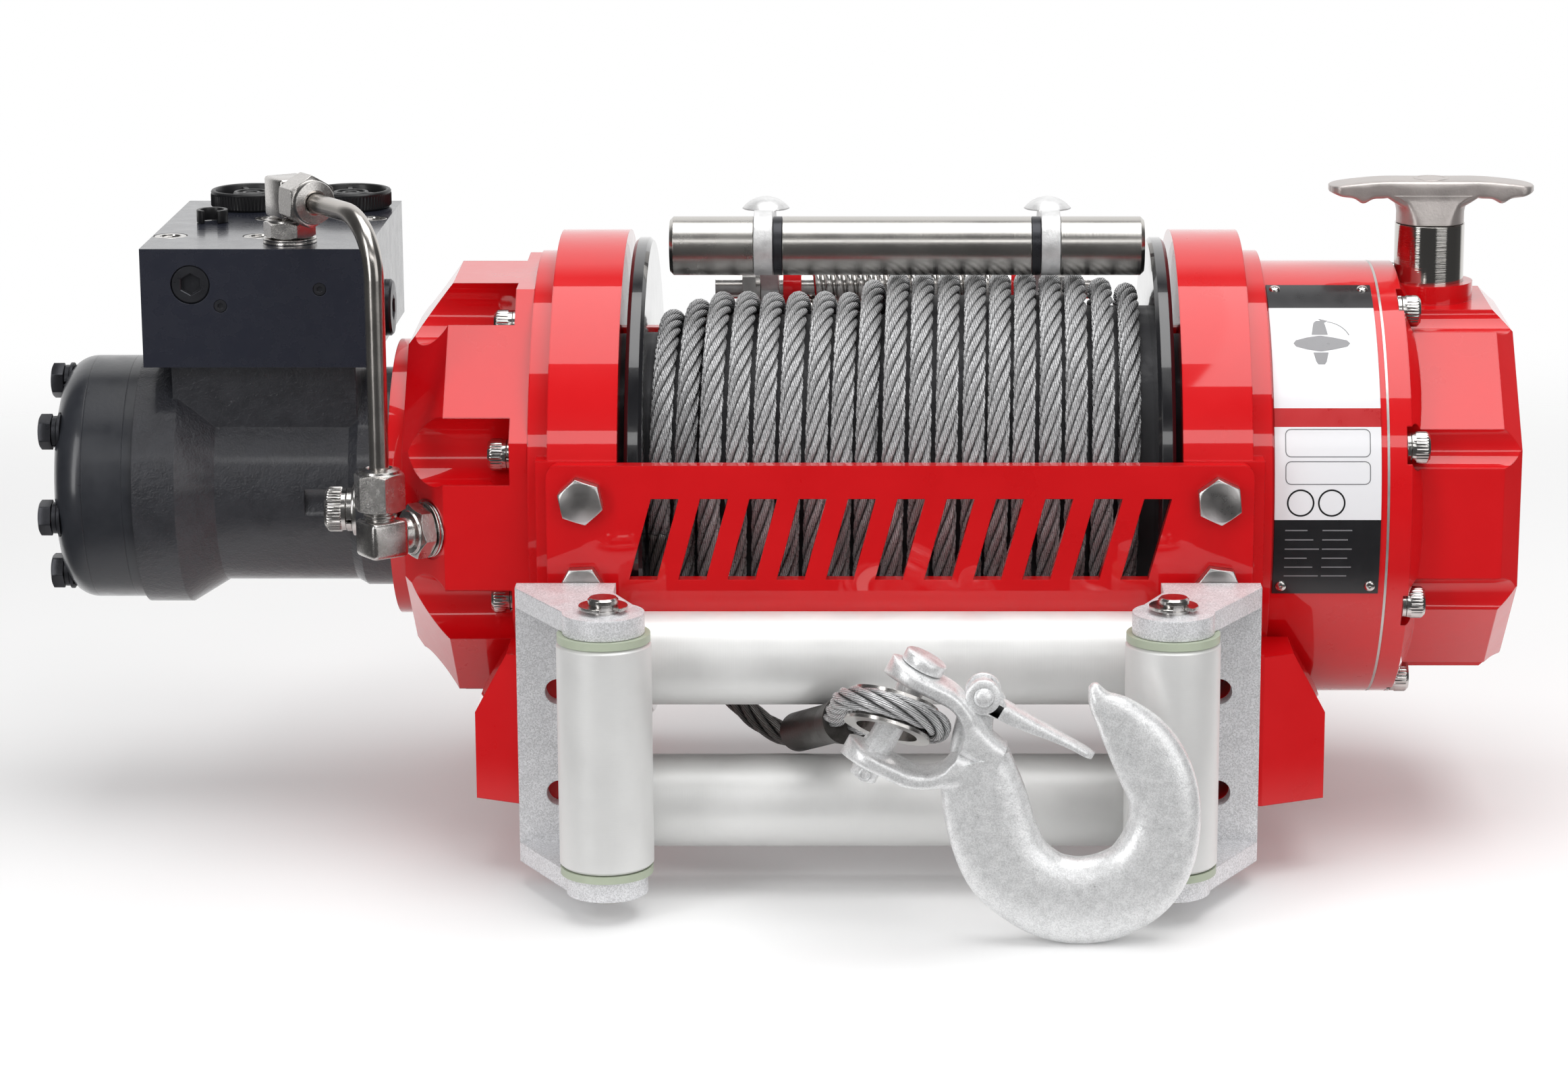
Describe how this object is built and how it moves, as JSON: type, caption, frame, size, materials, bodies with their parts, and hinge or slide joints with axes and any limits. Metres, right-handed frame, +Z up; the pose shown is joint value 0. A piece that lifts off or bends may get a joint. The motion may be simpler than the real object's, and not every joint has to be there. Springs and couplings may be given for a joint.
{
  "type": "hydraulic winch",
  "caption": "Hydraulic drum winch with planetary gearbox, free-spool clutch, wet brake, orbit motor and valve block, roller fairlead, rope tensioner and clevis hook.",
  "frame": {"origin": "centre of the four foot bolt holes, on the plane of the feet's undersides", "axes": "+X along the drum towards the gearbox and clutch, -Y to the front where the rope leaves, +Z up from the feet"},
  "size_m": [0.6199, 0.3312, 0.2761],
  "materials": {
    "red_paint": "gloss",
    "black_gloss": "gloss",
    "motor_black": "semi-gloss over a rough casting",
    "block_black": "satin",
    "sparkle_silver": "metallic powder coat",
    "zinc": "zinc plated",
    "roller_steel": "turned, satin",
    "galvanised_rope": "galvanised strands",
    "hook_zinc": "zinc plated forging",
    "chrome": "polished",
    "cast_silver": "cast and tumbled",
    "handle_cast": "warm grey casting",
    "gear_steel": "machined",
    "friction_lining": "sintered lining",
    "bronze": "machined",
    "nylon": "pale green nylon",
    "black_plastic": "knurled",
    "dark_ferrule": "black swaged",
    "black_steel": "black oxide",
    "drum_dark": "painted dark",
    "plate_print": "printed plate",
    "gasket_silver": "bare"
  },
  "bodies": {
    "frame": {"drum_support_left": "red_paint", "drum_support_right": "red_paint", "front_tie_plate": "red_paint", "rear_tie_plate": "red_paint", "tie_plate_bolts": "zinc", "drum_bushes": "bronze", "brake_housing": "red_paint", "brake_plates": "gear_steel", "shaft_bearing": "gear_steel", "gearbox_housing": "red_paint", "gearbox_gasket": "gasket_silver", "clutch_end_cover": "red_paint", "housing_screws": "zinc", "ring_gear": "gear_steel", "data_plate": "plate_print", "clutch_sleeve": "chrome", "motor_housing": "motor_black", "motor_spacer": "motor_black", "gerotor_ring": "motor_black", "motor_end_cover": "motor_black", "motor_cover_bolts": "black_steel", "motor_flange_screws": "zinc", "valve_block": "block_black", "valve_block_screws": "zinc", "valve_block_plugs": "black_steel", "port_caps": "black_plastic", "upper_elbow": "zinc", "brake_line": "zinc", "lower_elbow": "zinc", "fairlead_bracket_left": "sparkle_silver", "fairlead_bracket_right": "sparkle_silver", "roller_pins": "zinc", "roller_washers": "nylon", "tensioner_pivot_bolt": "zinc", "tensioner_spring": "zinc", "rope_tail": "galvanised_rope", "rope_ferrule": "dark_ferrule", "thimble": "zinc"},
    "drum": {"drum_barrel": "drum_dark", "drum_flanges": "black_gloss", "rope_core": "galvanised_rope", "rope_winding": "galvanised_rope", "planet_carrier": "gear_steel"},
    "planet_1": {"planet_gear_1": "gear_steel"},
    "planet_2": {"planet_gear_2": "gear_steel"},
    "planet_3": {"planet_gear_3": "gear_steel"},
    "brake_shaft": {"sun_shaft": "gear_steel", "friction_discs": "friction_lining"},
    "piston": {"brake_piston": "gear_steel"},
    "top_roller": {"roller_top": "roller_steel"},
    "bottom_roller": {"roller_bottom": "roller_steel"},
    "left_roller": {"roller_left": "roller_steel"},
    "right_roller": {"roller_right": "roller_steel"},
    "tensioner": {"tensioner_arms": "cast_silver", "tensioner_shaft": "black_steel"},
    "tensioner_row": {"tension_rollers": "roller_steel"},
    "clutch_plunger": {"clutch_pin": "gear_steel"},
    "clutch_knob": {"clutch_handle": "handle_cast"},
    "clevis_hook": {"hook": "hook_zinc"},
    "latch": {"hook_latch": "hook_zinc"}
  },
  "joints": [
    {"name": "drum_spin", "type": "hinge", "parent": "frame", "child": "drum", "pos_m": [0, 0, 0.111], "axis": [1, 0, 0], "continuous": true, "deforming": ["rope_tail"]},
    {"name": "planet_1_spin", "type": "hinge", "parent": "drum", "child": "planet_1", "pos_m": [0.168, 0, 0.075], "axis": [1, 0, 0], "continuous": true},
    {"name": "planet_2_spin", "type": "hinge", "parent": "drum", "child": "planet_2", "pos_m": [0.168, 0.03118, 0.129], "axis": [1, 0, 0], "continuous": true},
    {"name": "planet_3_spin", "type": "hinge", "parent": "drum", "child": "planet_3", "pos_m": [0.168, -0.03118, 0.129], "axis": [1, 0, 0], "continuous": true},
    {"name": "shaft_spin", "type": "hinge", "parent": "frame", "child": "brake_shaft", "pos_m": [0, 0, 0.111], "axis": [1, 0, 0], "continuous": true},
    {"name": "brake_release", "type": "slide", "parent": "frame", "child": "piston", "axis": [-1, 0, 0], "range_m": [0, 0.0012], "stiffness_N_per_m": 40000, "springref_m": -0.0004},
    {"name": "roller_top_spin", "type": "hinge", "parent": "frame", "child": "top_roller", "pos_m": [0, -0.125, 0.0642], "axis": [1, 0, 0], "continuous": true},
    {"name": "roller_bottom_spin", "type": "hinge", "parent": "frame", "child": "bottom_roller", "pos_m": [0, -0.125, 0.0055], "axis": [1, 0, 0], "continuous": true},
    {"name": "roller_left_spin", "type": "hinge", "parent": "frame", "child": "left_roller", "pos_m": [-0.115, -0.163, 0.036], "axis": [0, 0, 1], "continuous": true},
    {"name": "roller_right_spin", "type": "hinge", "parent": "frame", "child": "right_roller", "pos_m": [0.1058, -0.163, 0.036], "axis": [0, 0, 1], "continuous": true},
    {"name": "tensioner_lift", "type": "hinge", "parent": "frame", "child": "tensioner", "pos_m": [0, 0.095, 0.176], "axis": [-1, 0, 0], "range_deg": [0, 30], "stiffness_Nm_per_rad": 4, "springref_deg": -34.38},
    {"name": "tension_roller_spin", "type": "hinge", "parent": "tensioner", "child": "tensioner_row", "pos_m": [0, -0.002, 0.20963], "axis": [1, 0, 0], "continuous": true},
    {"name": "clutch_pull", "type": "slide", "parent": "frame", "child": "clutch_plunger", "axis": [0, 0, 1], "range_m": [0, 0.01], "stiffness_N_per_m": 1500, "springref_m": -0.01},
    {"name": "clutch_turn", "type": "hinge", "parent": "clutch_plunger", "child": "clutch_knob", "pos_m": [0.2212, 0, 0.226], "axis": [0, 0, 1], "range_deg": [0, 90]},
    {"name": "hook_swing", "type": "hinge", "parent": "frame", "child": "clevis_hook", "pos_m": [-0.0022, -0.195, 0.0594], "axis": [0.4664, 0, 0.8846], "range_deg": [-60, 0]},
    {"name": "latch_open", "type": "hinge", "parent": "clevis_hook", "child": "latch", "pos_m": [0.03167, -0.195, 0.06856], "axis": [0, 1, 0], "range_deg": [0, 30], "stiffness_Nm_per_rad": 0.08, "springref_deg": -28.65}
  ],
  "couplings": [
    {"joint": "planet_1_spin", "follows": "drum_spin", "ratio": -2.5},
    {"joint": "planet_2_spin", "follows": "drum_spin", "ratio": -2.5},
    {"joint": "planet_3_spin", "follows": "drum_spin", "ratio": -2.5},
    {"joint": "shaft_spin", "follows": "drum_spin", "ratio": 6}
  ]
}
